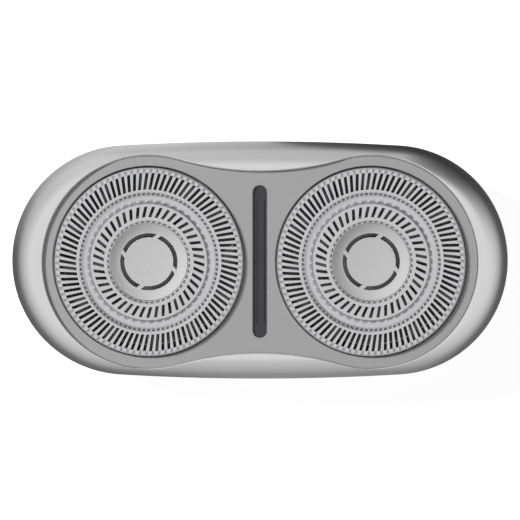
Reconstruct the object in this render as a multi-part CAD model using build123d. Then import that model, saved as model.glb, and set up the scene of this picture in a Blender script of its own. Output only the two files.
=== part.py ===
"""Twin rotary shaver head: two floating slotted combs in a moulded housing.

Millimetres. Z = 0 is the bottom rim, +Z points out of the shaving face and
+X runs along the head. The housing is centred on X and Y.
"""
from build123d import *
import math
import os

# Comb layout
COMB_RADIUS = 11.8         # outer wall of a comb
COMB_CLEARANCE = 0.2       # between a comb and its opening in the face
COMB_GAP = 3.8             # face between the two openings
COMB_RISE = 0.8            # crest of a comb above the face plate
FLOAT_TRAVEL = 1.4         # how far a comb can be pressed in

# Housing
PLATE_BORDER = 1.25        # face plate outside the comb openings
LIP_END = 3.85             # lip and shoulder beyond the plate at the ends
LIP_SIDE = 1.55            # lip and shoulder beyond the plate at mid length
SIDE_CAMBER = 0.5          # bow of the long sides
CROWN_HEIGHT = 14.9        # bottom rim to the top of the lip
GIRTH_HEIGHT = 9.4         # bottom rim to the widest section
RIM_INSET = 1.6            # bottom rim inside the widest section
SHOULDER_RADIUS = 2.8      # rounding from the side to the lip
SHOULDER_BANDS = 4         # conical bands that make up the rounding
SKIRT_WALL = 1.2
DECK_THICKNESS = 1.2       # wall under the face plate
LUG_LENGTH = 5.0           # snap lugs inside the skirt
LUG_DEPTH = 0.6
LUG_HEIGHT = 1.6
LUG_POSITION = 12.0        # lugs left and right of the middle

# Face plate and the strip in its slot
PLATE_RECESS = 0.7         # plate below the lip
PLATE_THICKNESS = 0.8
PLATE_FIT = 0.05           # all round the plate in its recess
WAIST_DEPTH = 1.95         # how far the plate narrows between the combs
SLOT_LENGTH = 19.1
SLOT_WIDTH = 1.8
INSERT_DEPTH = 0.4         # strip below the face of the plate
INSERT_RIB = 0.22          # width of a rib on the strip
INSERT_RIB_HEIGHT = 0.12

# Comb section, from the outer wall inwards
COMB_SHEET = 0.25
COMB_CORNER = 0.35         # bevel between the outer wall and the crest
OUTER_TRACK = 2.95         # width of the outer track at its crest
INNER_TRACK = 2.0          # width of the inner track at its crest
WALL_LEAN = 0.45           # how far a track's side leans
GROOVE_WIDTH = 0.65        # floor of the groove between the tracks
GROOVE_DEPTH = 0.55
SEAT_DEPTH = 0.8           # seat of the cap below the crest
SEAT_WIDTH = 0.95
FLANGE_WIDTH = 0.8         # rim that stops the comb under the deck
EAR_WIDTH = 2.4            # tab on the flange that keeps the comb from turning
EAR_LENGTH = 1.6
STOP_GAP = 0.05            # flange to deck, and other faces that meet at rest

# Comb slots: straight cuts that pass beside the axis
OUTER_SLOTS = 90
INNER_SLOTS = 45
HAIR_SLOT = 0.34           # width of a slot
HAIR_SLOT_OFFSET = 1.85    # from a slot's line to the axis
HAIR_SLOT_PHASE = 5.55     # direction of the first slot, degrees
HAIR_SLOT_LAND = 0.08      # slot's end to the bend in the sheet

# Comb cap
CAP_RIM_RISE = 0.5         # rim of the cap above its seat
CAP_DISH = 0.3             # middle of the cap below its rim
CAP_RIM_WIDTH = 1.22       # width of the dished rim
CAP_ARC_WIDTH = 0.52       # width of the arc slots
CAP_ARC_COUNT = 4
CAP_BRIDGE = 0.48          # sheet left between two arc slots
CAP_BRIDGE_PHASE = 38.0    # direction of the first bridge, degrees
CAP_FIT = 0.05             # cap in the comb's hole
PIN_RADIUS = 0.9
PIN_LENGTH = 1.6
PIN_CLEARANCE = 0.05       # pin in the cutter hub

# Cutter
BLADE_COUNT = 12
BLADE_GAP = 0.15           # blades to the inside of the comb
BLADE_HEIGHT = 2.85        # blade tip above the cutter's sheet
BLADE_THICKNESS = 0.45
BLADE_LEAN = 0.7           # tip ahead of the root
CUTTER_SHEET = 0.4
ARM_WIDTH = 1.3
RING_WIDTH = 1.8           # ring of the cutter round its hub
HUB_FIT = 0.03             # cutter's ring on its hub
HEAD_MARGIN = 0.9          # head of the hub inside the hole for the cap
HEAD_GAP = 0.55            # head of the hub to the cap
HUB_FLANGE_WIDTH = 1.3     # flange of the hub beyond its head
HUB_FLANGE_THICKNESS = 0.45
SOCKET_RADIUS = 1.6        # socket for the drive spindle
SOCKET_DEPTH = 3.0
BOSS_WALL = 1.3            # wall of the hub round the socket
BOSS_LENGTH = 2.9
KEY_WIDTH = 0.9            # two drive notches in the socket
KEY_DEPTH = 0.6

# Retaining frame, springs and latch
FRAME_THICKNESS = 2.0
SPRING_PRESSED = 1.5       # height of a leaf spring when a comb is pressed in
SPRING_SPAN = 5.0
SPRING_WIDTH = 0.9
SPRING_SHEET = 0.2
SPRING_POCKET = 0.4        # depth of a spring's seat in the frame
SPRING_FIT = 0.1           # all round a spring in its seat
SPRING_ANGLES = (60, 180, 300)
RING_BAND = 1.8            # width of the frame's rings
SPOKE_WIDTH = 1.6
HOLE_MARGIN = 1.3          # hole for a hub, larger than the hub's boss
HOLE_RING = 1.2            # wall round that hole
BRIDGE_WIDTH = 8.0
BRIDGE_LENGTH = 23.0
TAB_WIDTH = 6.0            # ends of the frame
TAB_LENGTH = 2.0
POST_RADIUS = 1.8          # pillars under the deck that the frame sits against
POST_SPREAD = 9.5          # pillars above and below the middle
WEB_THICKNESS = 1.8        # web between the two combs
WEB_LENGTH = 6.0
GUIDE_THICKNESS = 1.0      # pairs of ribs that guide the combs' ears
GUIDE_CLEARANCE = 0.15
STEM_RADIUS = 1.45         # end of the web that the latch turns against
LATCH_LENGTH = 9.0
LATCH_WIDTH = 3.4
LATCH_THICKNESS = 1.4
LATCH_CLEARANCE = 0.2      # latch in the frame's slot when it is turned open
GRIP_WIDTH = 0.8           # ridges for the finger on the latch
GRIP_HEIGHT = 0.8
SCREW_RADIUS = 0.8
SCREW_LENGTH = 4.0         # shank below the head
SCREW_CLEARANCE = 0.06     # latch on the screw
SCREW_FIT = 0.02           # screw in the stem
SCREW_HEAD_RADIUS = 1.4
SCREW_HEAD_HEIGHT = 0.9
SCREW_DRIVE = 0.35         # width and depth of the screwdriver slot

# Plan sizes that follow
opening_radius = COMB_RADIUS + COMB_CLEARANCE
comb_x = opening_radius + COMB_GAP / 2
plate_radius = opening_radius + PLATE_BORDER
half_length = comb_x + plate_radius + LIP_END
half_width = plate_radius + LIP_SIDE
end_radius = half_width - SIDE_CAMBER
end_x = half_length - end_radius
flange_radius = COMB_RADIUS + FLANGE_WIDTH

# Heights that follow, from the face inwards
plate_top = CROWN_HEIGHT - PLATE_RECESS
deck_top = plate_top - PLATE_THICKNESS
deck_bottom = deck_top - DECK_THICKNESS
crest = plate_top + COMB_RISE
flange_top = deck_bottom - STOP_GAP
flange_bottom = flange_top - COMB_SHEET
cap_seat = crest - SEAT_DEPTH
cap_middle = cap_seat + CAP_RIM_RISE - CAP_DISH
cap_bottom = cap_seat - COMB_SHEET
blade_tip = crest - COMB_SHEET - BLADE_GAP
cutter_top = blade_tip - BLADE_HEIGHT
cutter_bottom = cutter_top - CUTTER_SHEET
boss_top = cutter_bottom - HUB_FLANGE_THICKNESS
boss_bottom = boss_top - BOSS_LENGTH
spring_height = SPRING_PRESSED + FLOAT_TRAVEL
spring_foot = flange_bottom - STOP_GAP - spring_height
frame_top = spring_foot + SPRING_POCKET
frame_bottom = frame_top - FRAME_THICKNESS
latch_top = frame_bottom - STOP_GAP
latch_bottom = latch_top - LATCH_THICKNESS
screw_seat = latch_bottom - STOP_GAP

# Radii of the comb's section that follow
outer_track_inside = COMB_RADIUS - OUTER_TRACK
groove_outside = outer_track_inside - WALL_LEAN
groove_inside = groove_outside - GROOVE_WIDTH
inner_track_outside = groove_inside - WALL_LEAN
inner_track_inside = inner_track_outside - INNER_TRACK
seat_outside = inner_track_inside - WALL_LEAN
seat_hole = seat_outside - SEAT_WIDTH

# Radii of the cutter's hub that follow
head_radius = seat_hole - HEAD_MARGIN
hub_flange = head_radius + HUB_FLANGE_WIDTH
boss_radius = SOCKET_RADIUS + BOSS_WALL


def raise_to(z, sketch, height):
    """A flat sketch stood at height z and extruded upwards."""
    return extrude(Pos(0, 0, z) * sketch, height)


def turned(points):
    """Solid of revolution of a closed outline of (radius, height) points."""
    return revolve(make_face(Plane.XZ * Polyline(points, close=True)), Axis.Z)


def oval(inset):
    """Plan outline moved inwards: two end arcs tangent to two cambered sides."""
    side_centre = (end_x**2 - SIDE_CAMBER**2) / (2 * SIDE_CAMBER)
    reach = math.hypot(end_x, side_centre)
    radius = end_radius - inset
    tx = end_x * (1 + radius / reach)
    ty = side_centre * radius / reach
    long_x = end_x + radius
    wide_y = half_width - inset
    return make_face(
        [
            ThreePointArc((-tx, ty), (0, wide_y), (tx, ty)),
            ThreePointArc((tx, ty), (long_x, 0), (tx, -ty)),
            ThreePointArc((tx, -ty), (0, -wide_y), (-tx, -ty)),
            ThreePointArc((-tx, -ty), (-long_x, 0), (-tx, ty)),
        ]
    )


def waisted(grow):
    """Outline of the face plate: two round ends joined by hollow sides."""
    waist = plate_radius - WAIST_DEPTH
    hollow = (comb_x**2 + waist**2 - plate_radius**2) / (2 * WAIST_DEPTH)
    hollow_y = waist + hollow
    reach = math.hypot(comb_x, hollow_y)
    radius = plate_radius + grow
    tx = comb_x * (1 - radius / reach)
    ty = hollow_y * radius / reach
    far_x = comb_x + radius
    return make_face(
        [
            ThreePointArc((-tx, ty), (0, waist + grow), (tx, ty)),
            ThreePointArc((tx, ty), (far_x, 0), (tx, -ty)),
            ThreePointArc((tx, -ty), (0, -waist - grow), (-tx, -ty)),
            ThreePointArc((-tx, -ty), (-far_x, 0), (-tx, ty)),
        ]
    )


def at_combs(shape):
    """The same sketch or solid on both comb axes."""
    return [Pos(-comb_x, 0, 0) * shape, Pos(comb_x, 0, 0) * shape]


def flared(inset, top):
    """Skirt that flares from the rim to the girth and then rises straight."""
    rim = oval(RIM_INSET + inset)
    girth = Pos(0, 0, GIRTH_HEIGHT) * oval(inset)
    return loft([rim, girth], ruled=True), extrude(girth, top - GIRTH_HEIGHT)


def shoulder():
    """Rounding from the side to the lip, as a stack of conical bands."""
    sections = []
    for band in range(SHOULDER_BANDS + 1):
        angle = math.pi / 2 * band / SHOULDER_BANDS
        inset = SHOULDER_RADIUS * (1 - math.cos(angle))
        drop = SHOULDER_RADIUS * (1 - math.sin(angle))
        sections.append(Pos(0, 0, CROWN_HEIGHT - drop) * oval(inset))
    return loft(sections, ruled=True)


def snap_lug():
    """Wedge inside the skirt's long side that clicks over the shaver's neck."""
    middle = LUG_HEIGHT
    lean = RIM_INSET * (1 - middle / GIRTH_HEIGHT)
    inside = half_width - SIDE_CAMBER / 2 - lean - SKIRT_WALL
    root = inside + SKIRT_WALL / 2
    outline = Polyline(
        (root, middle - LUG_HEIGHT / 2),
        (inside - LUG_DEPTH, middle),
        (inside - LUG_DEPTH, middle + LUG_HEIGHT / 4),
        (root, middle + LUG_HEIGHT / 2),
        close=True,
    )
    return extrude(make_face(Plane.YZ * outline), LUG_LENGTH / 2, both=True)


def head_housing():
    skirt, upper = flared(0, CROWN_HEIGHT - SHOULDER_RADIUS)
    body = skirt + upper + shoulder()
    for hollow in flared(SKIRT_WALL, deck_bottom):
        body -= hollow
    body -= raise_to(deck_top, waisted(PLATE_FIT), CROWN_HEIGHT)
    body -= at_combs(raise_to(0, Circle(opening_radius), CROWN_HEIGHT))

    # Web between the combs with the latch's stem, and two pillars for the frame
    hang = deck_bottom - frame_top
    body += raise_to(frame_top, Rectangle(WEB_THICKNESS, WEB_LENGTH), hang)
    stem = raise_to(frame_bottom, Circle(STEM_RADIUS), FRAME_THICKNESS)
    pilot = raise_to(screw_seat, Circle(SCREW_RADIUS + SCREW_FIT), SCREW_LENGTH)
    body += stem
    body -= pilot
    pillar = raise_to(frame_top, Circle(POST_RADIUS), hang)
    body += [Pos(0, y, 0) * pillar for y in (-POST_SPREAD, POST_SPREAD)]

    # Pairs of ribs that guide the combs' ears, grown into the end walls
    guide_inside = comb_x + flange_radius + 2 * GUIDE_CLEARANCE
    guide_outside = half_length - SKIRT_WALL / 2
    guide_y = EAR_WIDTH / 2 + GUIDE_CLEARANCE + GUIDE_THICKNESS / 2
    guide = raise_to(
        frame_top, Rectangle(guide_outside - guide_inside, GUIDE_THICKNESS), hang
    )
    guide_x = (guide_inside + guide_outside) / 2
    body += [
        Pos(x, y, 0) * guide
        for x in (-guide_x, guide_x)
        for y in (-guide_y, guide_y)
    ]

    # Snap lugs on both long sides
    for x in (-LUG_POSITION, LUG_POSITION):
        lug = Pos(x, 0, 0) * snap_lug()
        body += [lug, Rot(0, 0, 180) * lug]
    return body


def face_slot(fit):
    """Upright slot with round ends, narrowed all round by fit."""
    return SlotOverall(SLOT_LENGTH - 2 * fit, SLOT_WIDTH - 2 * fit, rotation=90)


def face_plate():
    plan = Sketch() + waisted(0) - at_combs(Circle(opening_radius)) - face_slot(0)
    return raise_to(deck_top, plan, PLATE_THICKNESS)


def slot_insert():
    thickness = PLATE_THICKNESS - INSERT_DEPTH
    strip = raise_to(deck_top, face_slot(PLATE_FIT), thickness)
    rib_length = SLOT_LENGTH - 2 * SLOT_WIDTH
    rib = raise_to(deck_top, Rectangle(INSERT_RIB, rib_length), thickness + INSERT_RIB_HEIGHT)
    return strip + [Pos(x, 0, 0) * rib for x in (-SLOT_WIDTH / 4, SLOT_WIDTH / 4)]


def slot_row(count, inside, outside):
    """Straight slots round the axis, each along a line that misses the axis."""
    start = math.sqrt(inside**2 - HAIR_SLOT_OFFSET**2)
    end = math.sqrt(outside**2 - HAIR_SLOT_OFFSET**2)
    blade = Pos((start + end) / 2, HAIR_SLOT_OFFSET, crest) * Box(
        end - start, HAIR_SLOT, 4 * COMB_SHEET
    )
    return [
        Rot(0, 0, HAIR_SLOT_PHASE + index * 360 / count) * blade
        for index in range(count)
    ]


def comb():
    """Pressed sheet with two tracks, a groove, a cap seat and a flange."""
    floor = crest - GROOVE_DEPTH
    inside_wall = COMB_RADIUS - COMB_SHEET
    sheet = turned(
        [
            (inside_wall, flange_bottom),
            (flange_radius, flange_bottom),
            (flange_radius, flange_top),
            (COMB_RADIUS, flange_top),
            (COMB_RADIUS, crest - COMB_CORNER),
            (COMB_RADIUS - COMB_CORNER, crest),
            (outer_track_inside, crest),
            (groove_outside, floor),
            (groove_inside, floor),
            (inner_track_outside, crest),
            (inner_track_inside, crest),
            (seat_outside, cap_seat),
            (seat_hole, cap_seat),
            (seat_hole, cap_bottom),
            (seat_outside + COMB_SHEET, cap_bottom),
            (inner_track_inside + COMB_SHEET, crest - COMB_SHEET),
            (inner_track_outside - COMB_SHEET, crest - COMB_SHEET),
            (groove_inside - COMB_SHEET, floor - COMB_SHEET),
            (groove_outside + COMB_SHEET, floor - COMB_SHEET),
            (outer_track_inside + COMB_SHEET, crest - COMB_SHEET),
            (inside_wall - COMB_CORNER, crest - COMB_SHEET),
            (inside_wall, crest - COMB_SHEET - COMB_CORNER),
        ]
    )
    bend = COMB_SHEET + HAIR_SLOT_LAND
    slots = slot_row(
        OUTER_SLOTS, outer_track_inside + bend, COMB_RADIUS - COMB_CORNER - bend
    )
    slots += slot_row(
        INNER_SLOTS, inner_track_inside + bend, inner_track_outside - bend
    )
    return sheet - slots


def comb_ear(side):
    """Tab on the comb's flange, on the side away from the other comb."""
    start = COMB_RADIUS
    end = flange_radius + EAR_LENGTH
    tab = raise_to(flange_bottom, Rectangle(end - start, EAR_WIDTH), COMB_SHEET)
    return Pos(side * (start + end) / 2, 0, 0) * tab


def comb_cap():
    """Pressed cap: dished rim, four arc slots, flat middle and a pin below."""
    rim = seat_outside - CAP_FIT
    rim_top = cap_seat + CAP_RIM_RISE
    middle = rim - CAP_RIM_WIDTH
    spigot = seat_hole - CAP_FIT
    cap = turned(
        [
            (0, cap_bottom - PIN_LENGTH),
            (PIN_RADIUS, cap_bottom - PIN_LENGTH),
            (PIN_RADIUS, cap_bottom),
            (spigot, cap_bottom),
            (spigot, cap_seat),
            (rim, cap_seat),
            (rim, rim_top),
            (middle, cap_middle),
            (0, cap_middle),
        ]
    )
    arc_outside = middle
    arc_inside = middle - CAP_ARC_WIDTH
    reach = math.sqrt(arc_outside**2 - HAIR_SLOT_OFFSET**2)
    bridge = Pos(reach / 2, HAIR_SLOT_OFFSET) * Rectangle(2 * reach, CAP_BRIDGE)
    arcs = Sketch() + Circle(arc_outside) - Circle(arc_inside)
    arcs -= [
        Rot(0, 0, CAP_BRIDGE_PHASE + index * 360 / CAP_ARC_COUNT) * bridge
        for index in range(CAP_ARC_COUNT)
    ]
    return cap - raise_to(cap_bottom, arcs, CAP_RIM_RISE + COMB_SHEET)


def blade(inside, outside):
    """Upright cutter blade that leans forward, drawn edge on and extruded outwards."""
    outline = Polyline(
        (0, cutter_bottom),
        (BLADE_THICKNESS, cutter_bottom),
        (BLADE_THICKNESS + BLADE_LEAN, blade_tip),
        (BLADE_LEAN, blade_tip),
        close=True,
    )
    return Pos(inside, 0, 0) * extrude(make_face(Plane.YZ * outline), outside - inside)


def cutter_blades():
    """Stamped spider: ring, arms and two rings of blades."""
    hole = head_radius + HUB_FIT
    ring = hole + RING_WIDTH
    sweep = BLADE_THICKNESS + BLADE_LEAN
    outer_inside = outer_track_inside + COMB_SHEET + BLADE_GAP
    outer_outside = COMB_RADIUS - COMB_CORNER - COMB_SHEET - BLADE_GAP
    inner_inside = inner_track_inside + COMB_SHEET + BLADE_GAP
    inner_reach = inner_track_outside - COMB_SHEET - BLADE_GAP / 2
    inner_outside = math.sqrt(inner_reach**2 - sweep**2)
    arm_end = outer_outside
    arm = Pos((hole + arm_end) / 2, ARM_WIDTH / 2 - BLADE_THICKNESS / 2)
    arm *= Rectangle(arm_end - hole, ARM_WIDTH)
    turns = [Rot(0, 0, index * 360 / BLADE_COUNT) for index in range(BLADE_COUNT)]
    plan = Sketch() + Circle(ring) + [turn * arm for turn in turns] - Circle(hole)
    blades = [blade(outer_inside, outer_outside), blade(inner_inside, inner_outside)]
    spider = raise_to(cutter_bottom, plan, CUTTER_SHEET)
    return spider + [turn * one for turn in turns for one in blades]


def cutter_hub():
    """Moulded hub: head with the pin's hole, flange, and boss with the drive socket."""
    head_top = cap_bottom - HEAD_GAP
    pin_hole = PIN_RADIUS + PIN_CLEARANCE
    pin_floor = cap_bottom - PIN_LENGTH - PIN_CLEARANCE
    socket_top = boss_bottom + SOCKET_DEPTH
    hub = turned(
        [
            (SOCKET_RADIUS, boss_bottom),
            (boss_radius, boss_bottom),
            (boss_radius, boss_top),
            (hub_flange, boss_top),
            (hub_flange, cutter_bottom),
            (head_radius, cutter_bottom),
            (head_radius, head_top),
            (pin_hole, head_top),
            (pin_hole, pin_floor),
            (0, pin_floor),
            (0, socket_top),
            (SOCKET_RADIUS, socket_top),
        ]
    )
    key = raise_to(boss_bottom, Rectangle(2 * (SOCKET_RADIUS + KEY_DEPTH), KEY_WIDTH), SOCKET_DEPTH)
    return hub - key


def round_comb(angle, side):
    """Turn about a comb axis, mirrored for the comb on the right."""
    return Rot(0, 0, angle if side < 0 else 180 - angle)


def spring_place(angle, side):
    """Location on a comb axis where a spring stands, turned along the ring."""
    return round_comb(angle, side) * Pos(COMB_RADIUS - COMB_SHEET / 2, 0, 0)


def float_spring(angle, side):
    """Arched leaf spring under a comb's flange."""
    half = SPRING_SPAN / 2
    outer = ThreePointArc(
        (-half, spring_foot), (0, spring_foot + spring_height), (half, spring_foot)
    )
    inner = ThreePointArc(
        (half - SPRING_SHEET, spring_foot),
        (0, spring_foot + spring_height - SPRING_SHEET),
        (SPRING_SHEET - half, spring_foot),
    )
    feet = [Line(outer @ 1, inner @ 0), Line(inner @ 1, outer @ 0)]
    face = make_face([Plane.YZ * edge for edge in (outer, inner, *feet)])
    arch = extrude(face, SPRING_WIDTH / 2, both=True)
    return spring_place(angle, side) * arch


def retaining_frame():
    """Two spoked rings joined by a bridge, with seats for the springs."""
    hole = boss_radius + HOLE_MARGIN
    ring_inside = flange_radius - RING_BAND
    spoke = Pos(flange_radius / 2, 0) * Rectangle(flange_radius, SPOKE_WIDTH)
    tab_end = comb_x + flange_radius + TAB_LENGTH
    plan = Sketch() + at_combs(Circle(flange_radius))
    plan += Rectangle(BRIDGE_WIDTH, BRIDGE_LENGTH)
    plan += Rectangle(2 * tab_end, TAB_WIDTH)
    plan -= at_combs(Circle(ring_inside))
    for side in (-1, 1):
        spokes = [
            Pos(side * comb_x, 0) * round_comb(angle, side) * spoke
            for angle in SPRING_ANGLES
        ]
        plan += spokes
    plan += at_combs(Circle(hole + HOLE_RING))
    plan -= at_combs(Circle(hole))
    plan -= SlotOverall(
        LATCH_LENGTH + 2 * LATCH_CLEARANCE, LATCH_WIDTH + 2 * LATCH_CLEARANCE, rotation=90
    )
    frame = raise_to(frame_bottom, plan, FRAME_THICKNESS)
    seat = raise_to(
        spring_foot,
        Rectangle(SPRING_WIDTH + 2 * SPRING_FIT, SPRING_SPAN + 2 * SPRING_FIT),
        SPRING_POCKET,
    )
    for side in (-1, 1):
        frame -= [
            Pos(side * comb_x, 0, 0) * spring_place(angle, side) * seat
            for angle in SPRING_ANGLES
        ]
    return frame


def frame_latch():
    """Turn latch: wings across the frame's slot and two ridges for the finger."""
    plan = SlotOverall(LATCH_LENGTH, LATCH_WIDTH) - Circle(SCREW_RADIUS + SCREW_CLEARANCE)
    latch = raise_to(latch_bottom, plan, LATCH_THICKNESS)
    grip = raise_to(
        latch_bottom - GRIP_HEIGHT, Rectangle(GRIP_WIDTH, LATCH_WIDTH - GRIP_WIDTH), GRIP_HEIGHT
    )
    grip_x = LATCH_LENGTH / 2 - LATCH_WIDTH / 2
    return latch + [Pos(x, 0, 0) * grip for x in (-grip_x, grip_x)]


def latch_screw():
    """Small pan head screw with a plain slot."""
    head = raise_to(screw_seat - SCREW_HEAD_HEIGHT, Circle(SCREW_HEAD_RADIUS), SCREW_HEAD_HEIGHT)
    shank = raise_to(screw_seat, Circle(SCREW_RADIUS), SCREW_LENGTH - STOP_GAP)
    drive = raise_to(
        screw_seat - SCREW_HEAD_HEIGHT, Rectangle(2 * SCREW_HEAD_RADIUS, SCREW_DRIVE), SCREW_DRIVE
    )
    return head + shank - drive


nodes = {
    "head_housing": head_housing(),
    "face_plate": face_plate(),
    "slot_insert": slot_insert(),
    "retaining_frame": retaining_frame(),
    "frame_latch": frame_latch(),
    "latch_screw": latch_screw(),
}
slotted_comb = comb()
cap = comb_cap()
spider = cutter_blades()
hub = cutter_hub()
for name, side in (("left", -1), ("right", 1)):
    place = Pos(side * comb_x, 0, 0)
    nodes[f"comb_{name}"] = place * (slotted_comb + comb_ear(side))
    nodes[f"comb_cap_{name}"] = place * cap
    nodes[f"cutter_blades_{name}"] = place * spider
    nodes[f"cutter_hub_{name}"] = place * hub
    for number, angle in enumerate(SPRING_ANGLES, start=1):
        nodes[f"float_spring_{name}_{number}"] = place * float_spring(angle, side)

os.makedirs("parts", exist_ok=True)
for node, shape in nodes.items():
    export_step(shape, f"parts/{node}.step")
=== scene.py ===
"""Looks of a twin rotary shaver head: silver housing, slotted steel combs and the works underneath.

Sizes are millimetres and become metres when a mesh is written. +Z points out of the shaving face.
"""
import math

import bmesh
import bpy
import numpy as np
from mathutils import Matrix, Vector
from mathutils.geometry import tessellate_polygon


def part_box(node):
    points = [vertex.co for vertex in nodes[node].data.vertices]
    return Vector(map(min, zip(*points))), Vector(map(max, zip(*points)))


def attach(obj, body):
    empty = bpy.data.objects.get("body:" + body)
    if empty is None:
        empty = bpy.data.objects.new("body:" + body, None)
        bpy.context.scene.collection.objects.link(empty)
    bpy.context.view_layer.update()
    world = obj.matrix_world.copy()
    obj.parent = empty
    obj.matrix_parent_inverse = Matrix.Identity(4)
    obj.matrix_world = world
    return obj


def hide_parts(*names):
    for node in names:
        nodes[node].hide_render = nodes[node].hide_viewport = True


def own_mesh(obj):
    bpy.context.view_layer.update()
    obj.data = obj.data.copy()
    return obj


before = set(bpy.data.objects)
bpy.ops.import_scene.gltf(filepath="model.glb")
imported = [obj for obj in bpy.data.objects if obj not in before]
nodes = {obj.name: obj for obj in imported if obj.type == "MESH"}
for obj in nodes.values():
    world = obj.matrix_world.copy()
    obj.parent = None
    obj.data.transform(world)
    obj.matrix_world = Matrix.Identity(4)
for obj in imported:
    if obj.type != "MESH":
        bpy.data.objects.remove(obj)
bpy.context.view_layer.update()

# Housing: one moulded shell with a skirt, a rounded shoulder and a deck with two round openings.
# It is plastic under a satin silver coat. Ribs, pillars and snap lugs inside are moulded with it.
MM = 0.001
HALF_LENGTH = 31.0
HALF_WIDTH = 14.8
SIDE_CAMBER = 0.5
CROWN = 14.9
GIRTH = 9.4
RIM_INSET = 1.6
SHOULDER = 2.8
WALL = 1.2
COMB_X = 13.9
OPENING = 12.0
PLATE_RADIUS = 13.25
PLATE_FIT = 0.07
WAIST = 11.3
DECK_TOP = 13.4
DECK_BOTTOM = 12.2
FRAME_TOP = 9.35
LIP_EDGE = 0.16
RIM_EDGE = 0.3
GIRTH_ROUNDING = 2.0
MISSED = 1000.0
SEAM_POINTS = 39
SUNK = 0.2
MIDDLE_RIB = (1.8, 6.0)
PILLAR_RADIUS = 1.8
PILLAR_Y = 9.5
GUIDE = (3.6, 1.0)
GUIDE_X = 28.6
GUIDE_Y = 1.85
STEM_RADIUS = 1.45
STEM_LENGTH = 2.0
LUG_X = 12.0
LUG_MIDDLE = 1.6
LUG_HALF = 0.8
LUG_FLAT = 0.4
LUG_DEPTH = 0.6
LUG_LENGTH = 5.0
LUG_CHAMFER = 0.1

end_radius = HALF_WIDTH - SIDE_CAMBER
end_x = HALF_LENGTH - end_radius
side_centre = (end_x**2 - SIDE_CAMBER**2) / (2 * SIDE_CAMBER)
turn_over = math.atan2(side_centre, end_x)


def outline_samples(end_steps=176, side_steps=72):
    """Normals, arc centres and arc radii round the oval, counter-clockwise from the lower middle.

    The oval is two end arcs that run tangent into two long side arcs, so a point is its arc's centre
    plus the arc's radius along the normal, and an inset only shortens that radius.
    """
    ends = np.linspace(-turn_over, turn_over, end_steps, endpoint=False)
    sides = np.linspace(turn_over, math.pi - turn_over, side_steps, endpoint=False)
    angle = np.concatenate([ends, sides, ends + math.pi, sides + math.pi])
    long = side_centre + HALF_WIDTH
    x = np.repeat([end_x, 0.0, -end_x, 0.0], [end_steps, side_steps] * 2)
    y = np.repeat([0.0, -side_centre, 0.0, side_centre], [end_steps, side_steps] * 2)
    radius = np.repeat([end_radius, long, end_radius, long], [end_steps, side_steps] * 2)
    normal = np.stack([np.cos(angle), np.sin(angle)], axis=1)
    centre = np.stack([x, y], axis=1)
    return [np.roll(values, side_steps // 2, axis=0) for values in (normal, centre, radius)]


normal, centre, radius = outline_samples()


def oval(inset):
    """Plan points of the oval moved inwards: centre plus shortened radius along the normal."""
    return centre + (radius - inset)[:, None] * normal


def reach_to_plate(grow):
    """How far each normal runs inwards before it meets the face plate's outline.

    The outline is a circle round each comb joined by hollow arcs, so the reach is where the normal
    enters the circle, or leaves the hollow arc's circle between the two places where they touch.
    """
    hollow = (COMB_X**2 + WAIST**2 - PLATE_RADIUS**2) / (2 * (PLATE_RADIUS - WAIST))
    hollow_y = WAIST + hollow
    start = oval(0)

    def meet(middle, size, sign):
        along = np.sum((start - middle) * normal, axis=1)
        spare = along**2 - np.sum((start - middle) ** 2, axis=1) + size**2
        return np.where(spare > 0, along + sign * np.sqrt(np.maximum(spare, 0)), MISSED)

    comb_side = np.stack([np.sign(start[:, 0]) * COMB_X, 0 * start[:, 0]], axis=1)
    hollow_side = np.stack([0 * start[:, 0], np.sign(start[:, 1]) * hollow_y], axis=1)
    to_circle = meet(comb_side, PLATE_RADIUS + grow, -1)
    to_hollow = meet(hollow_side, hollow - grow, 1)
    touch = COMB_X * (1 - (PLATE_RADIUS + grow) / math.hypot(COMB_X, hollow_y))
    in_hollow = np.abs(start[:, 0] - to_hollow * normal[:, 0]) < touch
    return np.where(in_hollow, to_hollow, to_circle)


def raised(plan, height):
    """Plan points lifted to a height, which may differ from point to point."""
    return np.concatenate([plan, np.broadcast_to(height, plan.shape[:1])[:, None]], axis=1)


def rounded(corners, steps=6):
    """Profile through (across, height, radius) corners, each turned into an arc of its radius.

    The arc starts the radius times the tangent of half the turn before the corner, and is sampled as a
    quadratic curve from there over the corner to the same distance after it.
    """
    corners = np.array(corners, float)
    rows = []
    for index, (across, height, size) in enumerate(corners):
        corner = np.array([across, height])
        if size == 0:
            rows.append(corner[None])
            continue
        before = corners[index - 1, :2] - corner
        after = corners[index + 1, :2] - corner
        before /= np.linalg.norm(before)
        after /= np.linalg.norm(after)
        half_turn = (math.pi - math.acos(np.clip(before @ after, -1, 1))) / 2
        length = size * math.tan(half_turn)
        t = np.linspace(0, 1, steps + 1)[:, None]
        rows.append(corner + (1 - t) ** 2 * length * before + t**2 * length * after)
    return np.concatenate(rows)


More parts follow.
